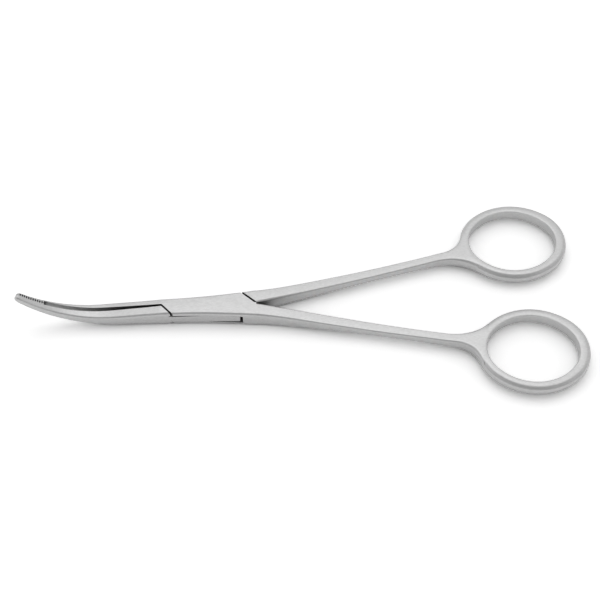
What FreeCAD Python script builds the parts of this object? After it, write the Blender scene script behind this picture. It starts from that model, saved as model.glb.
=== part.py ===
import FreeCAD, Part
import math
import os

# Curved dissecting forceps with a box lock, tips closed.
# Origin: on the flat underside of the box, on the axis of the joint pin.
# +X runs to the finger rings, the jaws run to -X and curve up to +Z.
# The box half has the far (+Y) jaw and the near (-Y) ring, the tenon half the others.

Vector = FreeCAD.Vector

# Box of the lock
BOX_HEIGHT = 5.8
BOX_FRONT_X = -15.0
BOX_REAR_X = 15.0
BOX_FRONT_WIDTH = 5.9
BOX_PIN_WIDTH = 7.0
BOX_REAR_WIDTH = 9.8
BOX_ROUNDING = 0.75

# Slot, tenon and pin
SLOT_HEIGHT = 3.2
TENON_CLEARANCE = 0.05
TENON_END_X = 9.75
TENON_END_GAP = 0.9
TENON_REAR_WIDTH = 7.8
TENON_FRONT_WIDTH = 5.6
PIN_RADIUS = 1.6
PIN_CLEARANCE = 0.04

# Shoulders where the full height of the tenon half starts, seen from above
FRONT_SHOULDER_X = -14.4
FRONT_SHOULDER_ANGLE = 49.0
REAR_SHOULDER_X = 14.8
REAR_SHOULDER_ANGLE = 43.0
SHOULDER_GAP = 0.25

# Jaws
PARTING_Y = 0.55
RELIEF_AT_LOCK = 0.38
RELIEF_AT_MIDDLE = 0.68
CURVE_START_X = -31.0
CURVE_RADIUS = 36.5
JAW_TIP_ANGLE = 46.9
JAW_MIDDLE_WIDTH = 5.65
JAW_MIDDLE_HEIGHT = 3.8
JAW_TIP_WIDTH = 2.5
JAW_TIP_HEIGHT = 2.0
JAW_ROUNDING = 0.6

# Cross serrations of the gripping pads
PAD_START_ANGLE = 31.5
TOOTH_COUNT = 13
TOOTH_DEPTH = 0.32
TOOTH_CLEARANCE = 0.06

# Shanks: share of the way from the root to the neck, outer and inner half-width, height
SHANK_ROUNDING = 0.45
SHANK_ROOT_LAP = 0.64
SHANK_ROOT_Y = 1.88
SHANK_ROOT_GAP = 0.1
SHANK_SECTIONS = [
    (0.0, 2.9, 1.88, 5.75),
    (0.105, 2.25, 1.87, 5.15),
    (0.21, 1.95, 1.85, 4.45),
    (0.335, 1.8, 1.8, 3.75),
    (0.455, 1.71, 1.71, 3.2),
    (0.58, 1.63, 1.63, 2.8),
    (0.7, 1.57, 1.57, 2.62),
    (0.825, 1.5, 1.5, 2.72),
    (0.93, 1.45, 1.45, 2.95),
    (1.0, 1.45, 1.45, 3.15),
]

# Necks of the shanks: distance from the finger hole, height, edge rounding
NECK_WIDTH = 2.9
NECK_SECTIONS = [
    (10.5, 3.4, 0.45),
    (7.5, 3.6, 0.55),
    (4.5, 3.75, 0.8),
    (2.5, 3.83, 1.05),
    (1.0, 3.88, 1.25),
    (-0.2, 3.89, 1.35),
]
NECK_LENGTH = 14.5
NECK_OUTER_RADIUS = 8.5
NECK_INNER_RADIUS = 15.0

# Finger rings: oval hole in a band of uneven width, widest at its far end
RING_X = 98.65
RING_Y = 20.7
RING_TURN = 2.0
RING_LINE_OFFSET = 0.34
RING_HEIGHT = 3.9
HOLE_LENGTH = 29.1
HOLE_WIDTH = 24.6
HOLE_END_SHARE = 0.845
BAND_AT_SIDES = 2.5
BAND_AT_ENDS = 2.65
BAND_AT_CORNERS = 3.0
RING_SHIFT = 0.3
HOLE_END_RADIUS = HOLE_END_SHARE * HOLE_WIDTH / 2
RING_LENGTH = HOLE_LENGTH + 2 * BAND_AT_ENDS
RING_WIDTH = HOLE_WIDTH + 2 * BAND_AT_SIDES
RING_END_RADIUS = HOLE_END_RADIUS + BAND_AT_CORNERS
RING_OUTER_ROUNDING = 0.54 * BAND_AT_SIDES
RING_INNER_ROUNDING = 0.2 * BAND_AT_SIDES

MID_Z = BOX_HEIGHT / 2
FAR = 1
NEAR = -1
REACH = 1.3 * RING_X
LOW = -BOX_HEIGHT
HIGH = MID_Z + CURVE_RADIUS
JOIN_LAP = 0.2

# The far shank runs straight from the rear of the box past its ring's centre
RING_CENTRE = Vector(RING_X, RING_Y)
SHANK_ROOT = Vector(BOX_REAR_X - SHANK_ROOT_LAP, SHANK_ROOT_Y)
SHANK_WAY = RING_CENTRE - SHANK_ROOT
SHANK_LENGTH = math.sqrt(SHANK_WAY.Length ** 2 - RING_LINE_OFFSET ** 2)
SHANK_SPLAY = math.degrees(math.atan2(SHANK_WAY.y, SHANK_WAY.x)
                           + math.asin(RING_LINE_OFFSET / SHANK_WAY.Length))


def line(start, end):
    return Part.LineSegment(start, end).toShape()


def arc(start, middle, end):
    return Part.Arc(start, middle, end).toShape()


def rounding(radius):
    """Corner points of a rounded edge, as insets from its two faces."""
    near = radius * (1 - math.cos(math.radians(30)))
    return [(radius, 0.0), (radius / 2, near), (near, radius / 2), (0.0, radius)]


def bar_section(centre, across, up, right, left, height, radius):
    """Rectangle with rounded corners, as one closed wire."""
    half = height / 2
    points = []
    for side_way, reach, rise_way in ((1, right, 1), (-1, left, 1), (-1, left, -1), (1, right, -1)):
        corner = [centre + across * (side_way * (reach - a)) + up * (rise_way * (half - b))
                  for a, b in rounding(radius)]
        points += corner if side_way == rise_way * -1 else corner[::-1]
    return Part.makePolygon(points + points[:1])


def prism(points, low=LOW, high=HIGH):
    """Upright prism on a plan outline of straight lines."""
    corners = [Vector(x, y, low) for x, y in points]
    outline = Part.makePolygon(corners + corners[:1])
    return Part.Face(outline).extrude(Vector(0, 0, high - low))


def mirrored(shape):
    return shape.mirror(Vector(0, 0, 0), Vector(0, 1, 0))


def turned(x, y, angle):
    turn = math.radians(angle)
    return Vector(math.cos(turn) * x - math.sin(turn) * y, math.sin(turn) * x + math.cos(turn) * y)


def path_frame(angle):
    """Point and upward direction of the jaws' middle line on its curve."""
    turn = math.radians(angle)
    up = Vector(math.sin(turn), 0, math.cos(turn))
    bend = Vector(CURVE_START_X, 0, MID_Z + CURVE_RADIUS)
    return bend - up * CURVE_RADIUS, up


def closed_jaws():
    """Both jaws as one tapering bar, from the front of the box to the rounded tip."""
    across = Vector(0, 1, 0)
    up = Vector(0, 0, 1)
    wires = []
    for share in (0.0, 0.15, 0.5, 1.0):
        x = BOX_FRONT_X + JOIN_LAP + (CURVE_START_X - BOX_FRONT_X - JOIN_LAP) * share
        half = (BOX_FRONT_WIDTH + (JAW_MIDDLE_WIDTH - BOX_FRONT_WIDTH) * share) / 2
        height = BOX_HEIGHT + (JAW_MIDDLE_HEIGHT - BOX_HEIGHT) * share ** 0.85
        radius = BOX_ROUNDING + (JAW_ROUNDING - BOX_ROUNDING) * share
        wires.append(bar_section(Vector(x, 0, MID_Z), across, up, half, half, height, radius))
    for share, fill in ((0.2, 1), (0.4, 1), (0.6, 1), (0.8, 1), (0.92, 1), (0.975, 0.93), (1.0, 0.66)):
        centre, lift = path_frame(JAW_TIP_ANGLE * share)
        half = fill * (JAW_MIDDLE_WIDTH + (JAW_TIP_WIDTH - JAW_MIDDLE_WIDTH) * share ** 1.1) / 2
        height = fill * (JAW_MIDDLE_HEIGHT + (JAW_TIP_HEIGHT - JAW_MIDDLE_HEIGHT) * share ** 0.7)
        wires.append(bar_section(centre, across, lift, half, half, height, JAW_ROUNDING * min(1, fill)))
    return Part.makeLoft(wires, True, False)


def box_outline(inset, z):
    """Box seen from above, drawn in by an inset, at one height."""
    front = BOX_FRONT_WIDTH / 2 - inset
    pin = BOX_PIN_WIDTH / 2 - inset
    rear = BOX_REAR_WIDTH / 2 - inset
    return Part.Wire([
        arc(Vector(BOX_FRONT_X, -front, z), Vector(0, -pin, z), Vector(BOX_REAR_X, -rear, z)),
        line(Vector(BOX_REAR_X, -rear, z), Vector(BOX_REAR_X, rear, z)),
        arc(Vector(BOX_REAR_X, rear, z), Vector(0, pin, z), Vector(BOX_FRONT_X, front, z)),
        line(Vector(BOX_FRONT_X, front, z), Vector(BOX_FRONT_X, -front, z)),
    ])


def rounded_levels(height, radius, steps):
    """Heights and insets of an upright body with rounded upper and lower edges."""
    half = height / 2
    levels = []
    for step in range(steps + 1):
        turn = math.radians(90 * step / steps)
        levels.append((-half + radius * (1 - math.sin(turn)), radius * (1 - math.cos(turn))))
    levels = levels[::-1]
    return levels + [(-z, inset) for z, inset in levels[::-1]]


def box_block():
    wires = [box_outline(inset, MID_Z + z) for z, inset in rounded_levels(BOX_HEIGHT, BOX_ROUNDING, 3)]
    return Part.makeLoft(wires, True, True)


def oval(length, width, end, inset, z):
    """Four-arc oval of a full length and width, drawn in by an inset."""
    end_x = (length / 2) - end
    flank = (end_x ** 2 + (width / 2) ** 2 - end ** 2) / (width - 2 * end)
    flank_y = flank - width / 2
    span = math.hypot(end_x, flank_y)
    tx = end_x + (end - inset) * end_x / span
    ty = (end - inset) * flank_y / span
    reach = length / 2 - inset
    side = width / 2 - inset
    return Part.Wire([
        arc(Vector(tx, -ty, z), Vector(reach, 0, z), Vector(tx, ty, z)),
        arc(Vector(tx, ty, z), Vector(0, side, z), Vector(-tx, ty, z)),
        arc(Vector(-tx, ty, z), Vector(-reach, 0, z), Vector(-tx, -ty, z)),
        arc(Vector(-tx, -ty, z), Vector(0, -side, z), Vector(tx, -ty, z)),
    ])


def hole_oval(inset, z):
    return oval(HOLE_LENGTH, HOLE_WIDTH, HOLE_END_RADIUS, inset, z)


def finger_ring():
    """Far finger ring: well rounded outside, slightly rounded in the hole."""
    outer = [oval(RING_LENGTH, RING_WIDTH, RING_END_RADIUS, inset, z)
             for z, inset in rounded_levels(RING_HEIGHT, RING_OUTER_ROUNDING, 3)]
    hole = [hole_oval(RING_INNER_ROUNDING - inset, z)
            for z, inset in rounded_levels(RING_HEIGHT, RING_INNER_ROUNDING, 2)]
    band = Part.makeLoft(outer, True, True)
    band.translate(Vector(RING_SHIFT, 0, 0))
    return place_ring(band.cut(Part.makeLoft(hole, True, True)))


def place_ring(shape):
    shape.rotate(Vector(0, 0, 0), Vector(0, 0, 1), RING_TURN)
    shape.translate(Vector(RING_X, RING_Y, MID_Z))
    return shape


def neck_side(side, radius, u):
    """Half-width of the neck on one side, where an arc leads it over into the ring."""
    end_x = RING_SHIFT + RING_END_RADIUS - RING_LENGTH / 2
    end_centre = turned(end_x, 0, RING_TURN - SHANK_SPLAY)
    end_v = side * (end_centre.y - RING_LINE_OFFSET)
    half = NECK_WIDTH / 2
    run = math.sqrt((RING_END_RADIUS + radius) ** 2 - (half + radius - end_v) ** 2)
    start_u = end_centre.x - run
    touch_u = end_centre.x - run * RING_END_RADIUS / (RING_END_RADIUS + radius)
    if u < start_u:
        return half
    if u < touch_u:
        return half + radius - math.sqrt(radius ** 2 - (u - start_u) ** 2)
    return end_v + math.sqrt(RING_END_RADIUS ** 2 - (u - end_centre.x) ** 2)


def shank():
    """Far shank from the rear of the box into its ring, one lofted bar."""
    up = Vector(0, 0, 1)
    outward = turned(0, 1, SHANK_SPLAY)
    neck_start = HOLE_LENGTH / 2 + NECK_LENGTH
    sections = []
    for share, outer, inner, height in SHANK_SECTIONS:
        u = -SHANK_LENGTH + (SHANK_LENGTH - neck_start) * share
        radius = max(SHANK_ROUNDING, BOX_ROUNDING - share)
        sections.append((u, outer, inner, height, radius))
    for distance, height, radius in NECK_SECTIONS:
        u = -HOLE_LENGTH / 2 - distance
        outer = neck_side(FAR, NECK_OUTER_RADIUS, u)
        inner = neck_side(NEAR, NECK_INNER_RADIUS, u)
        sections.append((u, outer, inner, height, radius))
    wires = []
    for u, outer, inner, height, radius in sections:
        centre = turned(u, RING_LINE_OFFSET, SHANK_SPLAY) + RING_CENTRE + up * MID_Z
        wires.append(bar_section(centre, outward, up, outer, inner, height, radius))
    bar = Part.makeLoft(wires, True, False)
    hole = Part.Face(hole_oval(-RING_INNER_ROUNDING, LOW)).extrude(up * (HIGH - LOW))
    return bar.cut(place_ring(hole))


def far_blank():
    """Closed jaws, box and far shank with its ring in one."""
    return box_block().fuse([closed_jaws(), shank(), finger_ring()])


def front_shoulder_x(y):
    """Front shoulder of the box, a straight line seen from above."""
    slope = math.tan(math.radians(FRONT_SHOULDER_ANGLE))
    return FRONT_SHOULDER_X + (PARTING_Y + RELIEF_AT_LOCK - y) / slope


def rear_shoulder_x(y):
    slope = math.tan(math.radians(REAR_SHOULDER_ANGLE))
    return REAR_SHOULDER_X - (y - SHANK_ROOT_GAP / 2) / slope


def pad_face_y(side):
    """Plane of the tooth crests of one pad."""
    return PARTING_Y - side * (TOOTH_DEPTH - TOOTH_CLEARANCE) / 2


def jaw_gap():
    """Slit between the jaws behind the pads, seen from above."""
    heel, _ = path_frame(PAD_START_ANGLE)
    near_y = PARTING_Y - RELIEF_AT_LOCK
    return prism([
        (FRONT_SHOULDER_X, PARTING_Y + RELIEF_AT_LOCK),
        (CURVE_START_X, PARTING_Y + RELIEF_AT_MIDDLE),
        (heel.x, PARTING_Y + RELIEF_AT_MIDDLE),
        (heel.x, PARTING_Y - RELIEF_AT_MIDDLE),
        (CURVE_START_X, PARTING_Y - RELIEF_AT_MIDDLE),
        (front_shoulder_x(near_y), near_y),
    ])


def tooth_cutter(side, angle, pitch):
    """V groove across one pad, cut in the direction of side."""
    centre, up = path_frame(angle)
    along = Vector(up.z, 0, -up.x)
    over = 1.3
    root = Vector(0, pad_face_y(side) + side * TOOTH_DEPTH, 0)
    mouth = Vector(0, root.y - side * over * TOOTH_DEPTH, 0)
    spread = along * (over * pitch / 2)
    base = centre - up * JAW_MIDDLE_HEIGHT
    corners = [base + mouth - spread, base + root, base + mouth + spread]
    face = Part.Face(Part.makePolygon(corners + corners[:1]))
    return face.extrude(up * (2 * JAW_MIDDLE_HEIGHT))


def pad_grooves(side):
    """All grooves of one pad; the two pads are half a tooth out of step."""
    step = (JAW_TIP_ANGLE - PAD_START_ANGLE) / TOOTH_COUNT
    pitch = CURVE_RADIUS * math.radians(step)
    shift = 0.25 if side == FAR else 0.75
    return [tooth_cutter(side, PAD_START_ANGLE + step * (tooth + shift), pitch)
            for tooth in range(-1, TOOTH_COUNT + 2)]


def jaw_root(gap):
    """Full-height region of the near jaw, drawn back from the shoulder by a gap."""
    face_y = PARTING_Y - RELIEF_AT_LOCK
    back = gap / math.sin(math.radians(FRONT_SHOULDER_ANGLE))
    low = -BOX_REAR_WIDTH
    return prism([
        (front_shoulder_x(face_y) - back, face_y),
        (front_shoulder_x(low) - back, low),
        (-REACH, low),
        (-REACH, face_y),
    ])


def shank_root(gap):
    """Full-height region of the far shank, drawn back from the shoulder by a gap."""
    face_y = SHANK_ROOT_GAP / 2
    back = gap / math.sin(math.radians(REAR_SHOULDER_ANGLE))
    high = 0.5 * REACH
    return prism([
        (rear_shoulder_x(face_y) + back, face_y),
        (rear_shoulder_x(BOX_REAR_WIDTH) + back, BOX_REAR_WIDTH),
        (rear_shoulder_x(BOX_REAR_WIDTH) + back, high),
        (2 * REACH, high),
        (2 * REACH, face_y),
    ])


def tenon_prism(end_gap, height):
    """Tenon, or its slot once the end gap is added, seen from above."""
    end = TENON_END_X + end_gap
    crotch = REAR_SHOULDER_X - TENON_END_GAP + end_gap
    nose = FRONT_SHOULDER_X + TENON_END_GAP - end_gap
    side = BOX_REAR_WIDTH
    near_y = PARTING_Y - RELIEF_AT_LOCK
    plan = [
        (end, -side),
        (end, -TENON_REAR_WIDTH / 2),
        (crotch, SHANK_ROOT_GAP / 2),
        (REAR_SHOULDER_X + 1, SHANK_ROOT_GAP / 2),
        (REAR_SHOULDER_X + 1, side),
        (-end, side),
        (-end, TENON_FRONT_WIDTH / 2),
        (nose, PARTING_Y + RELIEF_AT_LOCK),
        (front_shoulder_x(near_y), near_y),
        (FRONT_SHOULDER_X - 1, near_y),
        (FRONT_SHOULDER_X - 1, -side),
    ]
    return prism(plan, MID_Z - height / 2, MID_Z + height / 2)


def crotch_slit():
    half = SHANK_ROOT_GAP / 2
    end = BOX_REAR_X + 1
    return prism([(REAR_SHOULDER_X, -half), (end, -half), (end, half), (REAR_SHOULDER_X, half)])


def pin_cylinder(radius):
    return Part.makeCylinder(radius, BOX_HEIGHT)


def box_half(blank):
    """Slotted box with the far jaw and the near shank and ring."""
    jaw_split = prism([(-REACH, -REACH), (FRONT_SHOULDER_X, -REACH),
                       (FRONT_SHOULDER_X, pad_face_y(FAR)), (-REACH, pad_face_y(FAR))])
    shape = blank
    for cut in [jaw_root(0), shank_root(0), tenon_prism(TENON_END_GAP, SLOT_HEIGHT),
                jaw_split, jaw_gap(), crotch_slit(), pin_cylinder(PIN_RADIUS)]:
        shape = shape.cut(cut)
    shape = shape.cut(pad_grooves(FAR))
    return shape


def tenon_half(blank):
    """Flat tenon with the near jaw and the far shank and ring."""
    heel, _ = path_frame(PAD_START_ANGLE)
    face_y = PARTING_Y - RELIEF_AT_LOCK
    pad = prism([(-REACH, face_y), (heel.x, face_y),
                 (heel.x, pad_face_y(NEAR)), (-REACH, pad_face_y(NEAR))])
    tenon = tenon_prism(0, SLOT_HEIGHT - 2 * TENON_CLEARANCE)
    shape = blank.common(jaw_root(SHOULDER_GAP).fuse([pad, tenon, shank_root(SHOULDER_GAP)]))
    for cut in [jaw_gap(), pin_cylinder(PIN_RADIUS + PIN_CLEARANCE)]:
        shape = shape.cut(cut)
    shape = shape.cut(pad_grooves(NEAR))
    return shape


os.makedirs("parts", exist_ok=True)
blank = far_blank()
nodes = {
    "box_half": box_half(mirrored(blank)),
    "tenon_half": tenon_half(blank),
    "joint_pin": pin_cylinder(PIN_RADIUS),
}
for name, shape in nodes.items():
    shape.Solids[0].exportStep("parts/" + name + ".step")
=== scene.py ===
import math

import bmesh
import bpy
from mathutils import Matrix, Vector

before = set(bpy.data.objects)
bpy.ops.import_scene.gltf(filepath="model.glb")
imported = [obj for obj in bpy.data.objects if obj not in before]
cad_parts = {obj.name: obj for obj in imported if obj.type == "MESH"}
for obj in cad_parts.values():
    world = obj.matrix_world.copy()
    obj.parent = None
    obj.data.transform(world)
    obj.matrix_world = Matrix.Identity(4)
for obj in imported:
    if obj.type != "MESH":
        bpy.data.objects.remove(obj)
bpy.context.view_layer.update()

# Box half: one forging with the slotted box of the lock, the far jaw, the near shank and
# the near finger ring. It is stainless steel, forged and milled, then bead-blasted and
# lightly brushed along its length. The pin of the lock joins it to the other half.
box_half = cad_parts["box_half"]


# The cuts in the pieces are made by hidden tools, whose lengths are in millimetres.
def cutter(name, first_ring, last_ring):
    """Closed prism between two rings of points; it is hidden and only cuts."""
    count = len(first_ring)
    per_metre = 1000
    points = [[c / per_metre for c in point] for point in first_ring + last_ring]
    sides = [(i, (i + 1) % count, count + (i + 1) % count, count + i) for i in range(count)]
    ends = [tuple(range(count))[::-1], tuple(range(count, 2 * count))]
    mesh = bpy.data.meshes.new(name)
    mesh.from_pydata(points, [], sides + ends)
    shell = bmesh.new()
    shell.from_mesh(mesh)
    bmesh.ops.recalc_face_normals(shell, faces=shell.faces)
    shell.to_mesh(mesh)
    shell.free()
    tool = bpy.data.objects.new(name, mesh)
    bpy.context.collection.objects.link(tool)
    tool.hide_render = True
    tool.hide_viewport = True
    return tool


def cut_by(piece, tool):
    step = piece.modifiers.new(tool.name, "BOOLEAN")
    step.operation = "DIFFERENCE"
    step.solver = "EXACT"
    step.object = tool


# Grooves of the gripping pads, milled across the curved jaws. Those of the two jaws lie
# opposite each other, so a row of dark openings shows between the closed jaws. Places
# along the pads are angles in degrees on the jaws' curve, and the first groove, the mouth
# and the root of a groove are shares of the step from one groove to the next.
curve_start_x, curve_radius, middle_z = -31.0, 36.5, 2.9
pad_start, pad_end, groove_count = 31.5, 46.9, 13
parting_y, groove_depth, land_lap = 0.55, 0.44, 0.16
first_groove = 0.82
half_mouth, half_root = 0.37, 0.2
open_side, half_width = 1.6, 3
groove_step = (pad_end - pad_start) / groove_count


def on_jaw(angle, y, lift):
    """Point on the jaws' curve, a distance above its middle line."""
    turned = math.radians(angle)
    reach = curve_radius - lift
    return (curve_start_x - reach * math.sin(turned), y,
            middle_z + curve_radius - reach * math.cos(turned))


def groove_comb(name, side):
    """Cutter with a tooth for each groove of a pad, open towards the other jaw."""
    land, root = parting_y - side * land_lap, parting_y + side * groove_depth
    outline = []
    for groove in range(groove_count):
        middle = pad_start + groove_step * (groove + first_groove)
        for share, y in ((-half_mouth, land), (-half_root, root),
                         (half_root, root), (half_mouth, land)):
            outline.append((middle + groove_step * share, y))
    back_y = parting_y - side * open_side
    outline += [(angle, back_y) for angle in (outline[-1][0], outline[0][0])]
    under, over = ([on_jaw(angle, y, lift) for angle, y in outline]
                   for lift in (-half_width, half_width))
    return cutter(name, under, over)


cut_by(box_half, groove_comb("far_pad_comb", 1))

# Slanted shoulders of the lock. The walls of the box lie under and over its slot, and
# their rear edges are cut back a little, so that the slit shows as a dark line.
slot_low, slot_high = 1.3, 4.5
clear_under, clear_over = -2, 8


def shoulder_line(start_x, start_y, degrees, end_y):
    """Both ends of a slanted line across the walls of the box."""
    slope = math.tan(math.radians(degrees))
    return [(start_x + (start_y - y) / slope, y) for y in (start_y, end_y)]


def shoulder_slit(piece, name, line, first, last, into_slot=0.0):
    """Cuts both walls along a slanted line, between two distances beside it."""
    plan = [(x + first, y) for x, y in line] + [(x + last, y) for x, y in line[::-1]]
    for wall, low, high in (("_over", slot_high - into_slot, clear_over),
                            ("_under", clear_under, slot_low + into_slot)):
        rings = ([(x, y, z) for x, y in plan] for z in (low, high))
        cut_by(piece, cutter(name + wall, *rings))


rear_line = shoulder_line(start_x=14.8, start_y=0.05, degrees=43, end_y=7)
shoulder_slit(box_half, "rear_edge", rear_line, first=0.01, last=-0.45, into_slot=0.05)

# Satin surface of the steel: a fine matt grain from the beads, faint long brush lines,
# edges that the tumbling has polished a little, and painted shade in the narrow gaps. Grain
# sizes are in metres.
bead_grain, speckle_grain, brush_grain, handling_grain = 0.00011, 0.0004, 0.00009, 0.006
# The last grey on the next line is the colour of the painted shade in the narrow gaps.
dull_steel, bright_steel, polished_edge, painted_gap_shade = 0.49, 0.585, 0.61, 0.12
edge_radius, gap_reach = 0.00022, 0.003
grain_height, grain_strength = 0.00002, 0.35
steel = bpy.data.materials.new("satin_stainless")
steel.use_nodes = True
nodes, links = steel.node_tree.nodes, steel.node_tree.links
shader = nodes["Principled BSDF"]
shader.inputs["Metallic"].default_value = 1.0
place = nodes.new("ShaderNodeTexCoord")


def grey(level):
    return (level, level, level, 1)


def noise(name, size, detail, stretch=(1, 1, 1)):
    """Noise on the piece's own coordinates; stretch makes its grain longer along an axis."""
    spread = nodes.new("ShaderNodeMapping")
    spread.inputs["Scale"].default_value = [1 / (size * way) for way in stretch]
    links.new(place.outputs["Object"], spread.inputs["Vector"])
    cloud = nodes.new("ShaderNodeTexNoise")
    cloud.name = name
    cloud.inputs["Scale"].default_value = 1.0
    cloud.inputs["Detail"].default_value = detail
    cloud.inputs["Roughness"].default_value = 0.6
    links.new(spread.outputs["Vector"], cloud.inputs["Vector"])
    return cloud.outputs["Fac"]


def spread_to(value, low, high, start=0.3, end=0.7):
    """A value between start and end, which noise mostly is, carried over to low and high."""
    step = nodes.new("ShaderNodeMapRange")
    step.inputs["From Min"].default_value = start
    step.inputs["From Max"].default_value = end
    step.inputs["To Min"].default_value = low
    step.inputs["To Max"].default_value = high
    links.new(value, step.inputs["Value"])
    return step.outputs["Result"]


def combined(way, first, second):
    step = nodes.new("ShaderNodeMath")
    step.operation = way
    links.new(first, step.inputs[0])
    links.new(second, step.inputs[1])
    return step.outputs["Value"]


def toned(share, level, under=None):
    """Grey of one level laid over the colour under it, which is dull steel to begin with."""
    tone = nodes.new("ShaderNodeMix")
    tone.data_type = "RGBA"
    tone.inputs["A"].default_value = grey(dull_steel)
    tone.inputs["B"].default_value = grey(level)
    links.new(share, tone.inputs["Factor"])
    if under:
        links.new(under, tone.inputs["A"])
    return tone.outputs["Result"]


blasted = noise("bead_blast", bead_grain, detail=3)
speckled = noise("satin_speckle", speckle_grain, detail=2, stretch=(2.5, 1, 1))
brushed = noise("brush_lines", brush_grain, detail=2, stretch=(40, 1, 1))
handled = noise("handling", handling_grain, detail=4)

# A bevel's normals part from the surface at corners, which shows where edges are worn.
geometry = nodes.new("ShaderNodeNewGeometry")
bevel = nodes.new("ShaderNodeBevel")
bevel.samples = 6
bevel.inputs["Radius"].default_value = edge_radius
corner = nodes.new("ShaderNodeVectorMath")
corner.operation = "DOT_PRODUCT"
links.new(bevel.outputs["Normal"], corner.inputs[0])
links.new(geometry.outputs["Normal"], corner.inputs[1])
worn = spread_to(corner.outputs["Value"], 1.0, 0.0, start=0.86, end=0.995)

# Painted shade: where ambient occlusion finds the narrow gaps of the lock and between
# the jaws, the colour is darkened towards a near-black grey, standing in for their shade.
hidden = nodes.new("ShaderNodeAmbientOcclusion")
hidden.samples = 8
hidden.inputs["Distance"].default_value = gap_reach
painted_crevice_shade = spread_to(hidden.outputs["AO"], 1.0, 0.0, start=0.12, end=0.62)

speckle = combined("MULTIPLY", speckled, spread_to(blasted, 0.9, 1.1))
mottle = combined("MULTIPLY", spread_to(speckle, 0.1, 1.0), spread_to(handled, 0.75, 1.0))
polished = combined("MULTIPLY", worn, spread_to(handled, 0.3, 0.8))
satin = toned(mottle, bright_steel)
edged = toned(polished, polished_edge, under=satin)
# The painted shade of the gaps is laid over everything else, last.
links.new(toned(painted_crevice_shade, painted_gap_shade, under=edged), shader.inputs["Base Color"])

matt = combined("ADD", spread_to(blasted, 0.32, 0.40), spread_to(brushed, -0.05, 0.05))
smoother = spread_to(worn, 0.0, 0.04, start=0, end=1)
links.new(combined("SUBTRACT", matt, smoother), shader.inputs["Roughness"])
grain = combined("ADD", spread_to(blasted, 0, 1, start=0, end=1),
                 spread_to(brushed, 0, 0.7, start=0, end=1))
bump = nodes.new("ShaderNodeBump")
bump.inputs["Strength"].default_value = grain_strength
bump.inputs["Distance"].default_value = grain_height
links.new(grain, bump.inputs["Height"])
links.new(bump.outputs["Normal"], shader.inputs["Normal"])


def smooth_by_angle(weld_distance, sharp_degrees):
    """Modifier group that welds a mesh and keeps only its steep corners sharp."""
    group = bpy.data.node_groups.new("smooth_by_angle", "GeometryNodeTree")
    for way in ("INPUT", "OUTPUT"):
        group.interface.new_socket("Geometry", in_out=way, socket_type="NodeSocketGeometry")
    start = group.nodes.new("NodeGroupInput")
    weld = group.nodes.new("GeometryNodeMergeByDistance")
    weld.inputs["Distance"].default_value = weld_distance
    faces = group.nodes.new("GeometryNodeSetShadeSmooth")
    faces.domain = "FACE"
    edges = group.nodes.new("GeometryNodeSetShadeSmooth")
    edges.domain = "EDGE"
    edges.inputs["Shade Smooth"].default_value = False
    angle = group.nodes.new("GeometryNodeInputMeshEdgeAngle")
    sharp = group.nodes.new("FunctionNodeCompare")
    sharp.operation = "GREATER_THAN"
    sharp.inputs["B"].default_value = math.radians(sharp_degrees)
    finish = group.nodes.new("NodeGroupOutput")
    group.links.new(start.outputs[0], weld.inputs["Geometry"])
    group.links.new(weld.outputs["Geometry"], faces.inputs["Geometry"])
    group.links.new(faces.outputs["Geometry"], edges.inputs["Geometry"])
    group.links.new(angle.outputs["Unsigned Angle"], sharp.inputs["A"])
    group.links.new(sharp.outputs["Result"], edges.inputs["Selection"])
    group.links.new(edges.outputs["Geometry"], finish.inputs[0])
    return group


smoothing = smooth_by_angle(weld_distance=1e-6, sharp_degrees=40)


def finish_surface(piece):
    """Shades the faces of a piece as one smooth surface and gives it its steel."""
    shade = piece.modifiers.new("smooth_by_angle", "NODES")
    shade.node_group = smoothing
    even = piece.modifiers.new("even_faces", "WEIGHTED_NORMAL")
    even.keep_sharp = True
    piece.data.materials.clear()
    piece.data.materials.append(steel)


finish_surface(box_half)

# Tenon half: one forging of the same satin stainless steel, with the tenon, the near jaw,
# the far shank and the far finger ring. Its tenon passes through the slot of the box and
# turns there on the pin. Its shoulders and the edges of the tenon are eased.
tenon_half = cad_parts["tenon_half"]
cut_by(tenon_half, groove_comb("near_pad_comb", -1))
front_degrees, front_width = 49, 0.62
front_line = shoulder_line(start_x=-14.4, start_y=0.93, degrees=front_degrees, end_y=-6)
front_shift = front_width / math.sin(math.radians(front_degrees))
shoulder_slit(tenon_half, "front_shoulder", front_line, first=0.0, last=-front_shift)
shoulder_slit(tenon_half, "rear_shoulder", rear_line, first=0.0, last=0.5)
wedge_inner_y, wedge_outer_y = -1.9, -6


def tenon_wedge(name, side, thin_x, thick_x, edge_z, thin, thick):
    """Cutter along an edge of the tenon; side -1 turns it round the pin to the far side."""
    profile = [(thin_x, edge_z), (thick_x, edge_z),
               (thick_x, edge_z + thick), (thin_x, edge_z + thin)]
    rings = ([(side * x, side * y, z) for x, z in profile]
             for y in (wedge_inner_y, wedge_outer_y))
    return cutter(name, *rings)


for name, side in (("near", 1), ("far", -1)):
    over = tenon_wedge(name + "_over_tenon", side, thin_x=-1.0, thick_x=-12.2,
                       edge_z=4.52, thin=-0.08, thick=-0.55)
    under = tenon_wedge(name + "_under_tenon", side, thin_x=-0.5, thick_x=9.9,
                        edge_z=1.28, thin=0.08, thick=0.7)
    cut_by(tenon_half, over)
    cut_by(tenon_half, under)
finish_surface(tenon_half)

# Joint pin: a plain turned pin of the same steel. It is pressed into both walls of the box
# and ground flush with their outer faces, and the tenon turns on it.
joint_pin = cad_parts["joint_pin"]
finish_surface(joint_pin)

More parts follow.
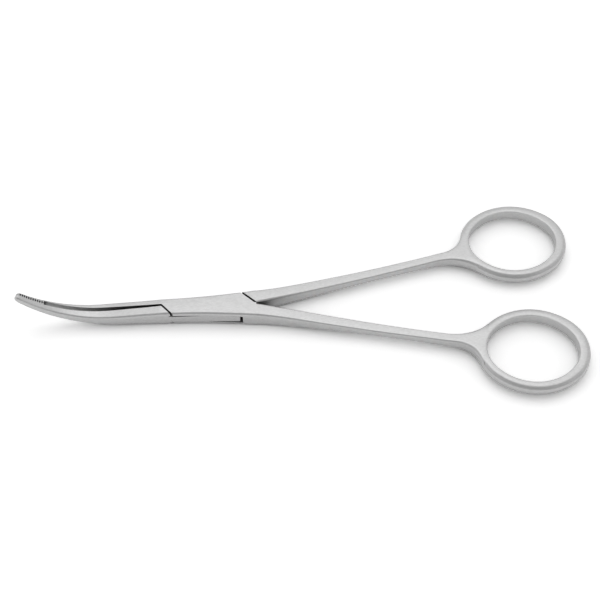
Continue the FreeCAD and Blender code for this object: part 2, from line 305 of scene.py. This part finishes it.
# Table top and background: one plain sheet of white paper under the instrument. The
# camera and the steel's reflections see it whiter than it lights the steel, so that it
# is plain white far from the instrument, and the soft shadow stays on it.
sheet_half, sheet_drop = 3.0, 0.0001
paper_white, white_in_steel, white_to_camera = 0.92, 1.24, 1.4
corners = [(x * sheet_half, y * sheet_half, 0) for x, y in ((-1, -1), (1, -1), (1, 1), (-1, 1))]
sheet_mesh = bpy.data.meshes.new("white_sheet")
sheet_mesh.from_pydata(corners, [], [(0, 1, 2, 3)])
sheet = bpy.data.objects.new("white_sheet", sheet_mesh)
bpy.context.collection.objects.link(sheet)
sheet.location.z = -sheet_drop
paper = bpy.data.materials.new("white_paper")
paper.use_nodes = True
paper_nodes, paper_links = paper.node_tree.nodes, paper.node_tree.links
paper_shader = paper_nodes["Principled BSDF"]
paper_shader.inputs["Base Color"].default_value = grey(paper_white)
paper_shader.inputs["Roughness"].default_value = 0.95
paper_shader.inputs["Specular IOR Level"].default_value = 0.1
seen = paper_nodes.new("ShaderNodeLightPath")
whiteness = paper_nodes.new("ShaderNodeMath")
whiteness.operation = "MULTIPLY_ADD"
whiteness.inputs[1].default_value = white_to_camera - white_in_steel
whiteness.inputs[2].default_value = white_in_steel
paper_links.new(seen.outputs["Is Camera Ray"], whiteness.inputs[0])
white_paper = paper_nodes.new("ShaderNodeBsdfDiffuse")
paper_links.new(whiteness.outputs["Value"], white_paper.inputs["Color"])
direct = paper_nodes.new("ShaderNodeMath")
direct.operation = "MAXIMUM"
paper_links.new(seen.outputs["Is Camera Ray"], direct.inputs[0])
paper_links.new(seen.outputs["Is Glossy Ray"], direct.inputs[1])
either = paper_nodes.new("ShaderNodeMixShader")
paper_links.new(direct.outputs["Value"], either.inputs["Fac"])
paper_links.new(paper_shader.outputs["BSDF"], either.inputs[1])
paper_links.new(white_paper.outputs["BSDF"], either.inputs[2])
paper_links.new(either.outputs["Shader"], paper_nodes["Material Output"].inputs["Surface"])
sheet.data.materials.append(paper)

# Studio light: an even bright room, as in a light tent, with a darker ceiling above the
# camera and a darker front low down, and one weak softbox that hangs over and behind the
# instrument. The camera sees the room itself as white.
room_strength = 0.87
studio = bpy.data.worlds.new("studio")
bpy.context.scene.world = studio
studio.use_nodes = True
room_nodes, room_links = studio.node_tree.nodes, studio.node_tree.links
room = room_nodes["Background"]
room.inputs["Strength"].default_value = room_strength
look = room_nodes.new("ShaderNodeTexCoord")


def room_shade(toward, start, end, first, last):
    """Brightness that changes softly from first to last, towards one side of the room."""
    across = room_nodes.new("ShaderNodeVectorMath")
    across.operation = "DOT_PRODUCT"
    across.inputs[1].default_value = toward
    shade = room_nodes.new("ShaderNodeMapRange")
    shade.interpolation_type = "SMOOTHSTEP"
    shade.inputs["From Min"].default_value = start
    shade.inputs["From Max"].default_value = end
    shade.inputs["To Min"].default_value = first
    shade.inputs["To Max"].default_value = last
    room_links.new(look.outputs["Generated"], across.inputs[0])
    room_links.new(across.outputs["Value"], shade.inputs["Value"])
    return shade.outputs["Result"]


ceiling = room_shade(toward=(0, -0.34, 0.94), start=0.62, end=0.94, first=1.0, last=0.6)
low_front = room_shade(toward=(0, 0.38, 0.92), start=0.0, end=0.45, first=0.6, last=1.0)
overall = room_nodes.new("ShaderNodeMath")
overall.operation = "MULTIPLY"
room_links.new(low_front, overall.inputs[0])
room_links.new(ceiling, overall.inputs[1])
room_links.new(overall.outputs["Value"], room.inputs["Color"])
white_room = room_nodes.new("ShaderNodeBackground")
white_room.inputs["Color"].default_value = grey(1)
from_camera = room_nodes.new("ShaderNodeLightPath")
shown = room_nodes.new("ShaderNodeMixShader")
room_links.new(from_camera.outputs["Is Camera Ray"], shown.inputs["Fac"])
room_links.new(room.outputs["Background"], shown.inputs[1])
room_links.new(white_room.outputs["Background"], shown.inputs[2])
room_links.new(shown.outputs["Shader"], room_nodes["World Output"].inputs["Surface"])

softbox_spot, softbox_aim = Vector((0.08, 0.38, 1.05)), Vector((0.03, 0, 0))
softbox = bpy.data.lights.new("top_softbox", "AREA")
softbox.shape = "RECTANGLE"
softbox.size, softbox.size_y = 0.85, 0.7
softbox.energy = 1.55
hanging = bpy.data.objects.new("top_softbox", softbox)
bpy.context.collection.objects.link(hanging)
hanging.location = softbox_spot
hanging.rotation_euler = (softbox_aim - softbox_spot).to_track_quat("-Z", "Y").to_euler()

# Camera: about 0.37 m away, 55 degrees above the table and turned 3 degrees, so that the
# instrument lies across the frame as it does in the photograph.
distance, elevation, turn = 0.373273, math.radians(55), 0.0535578
aim_x, aim_y = 0.028579, 0.005674
lens = bpy.data.cameras.new("camera")
lens.sensor_width = 36
lens.lens = 70.55
lens.clip_start = 0.01
camera = bpy.data.objects.new("camera", lens)
bpy.context.collection.objects.link(camera)
back = aim_y - distance * math.cos(elevation)
camera.location = (math.cos(turn) * aim_x + math.sin(turn) * back,
                   -math.sin(turn) * aim_x + math.cos(turn) * back,
                   distance * math.sin(elevation))
camera.rotation_euler = (math.pi / 2 - elevation, 0, -turn)
bpy.context.scene.camera = camera
bpy.context.scene.view_settings.view_transform = "Standard"
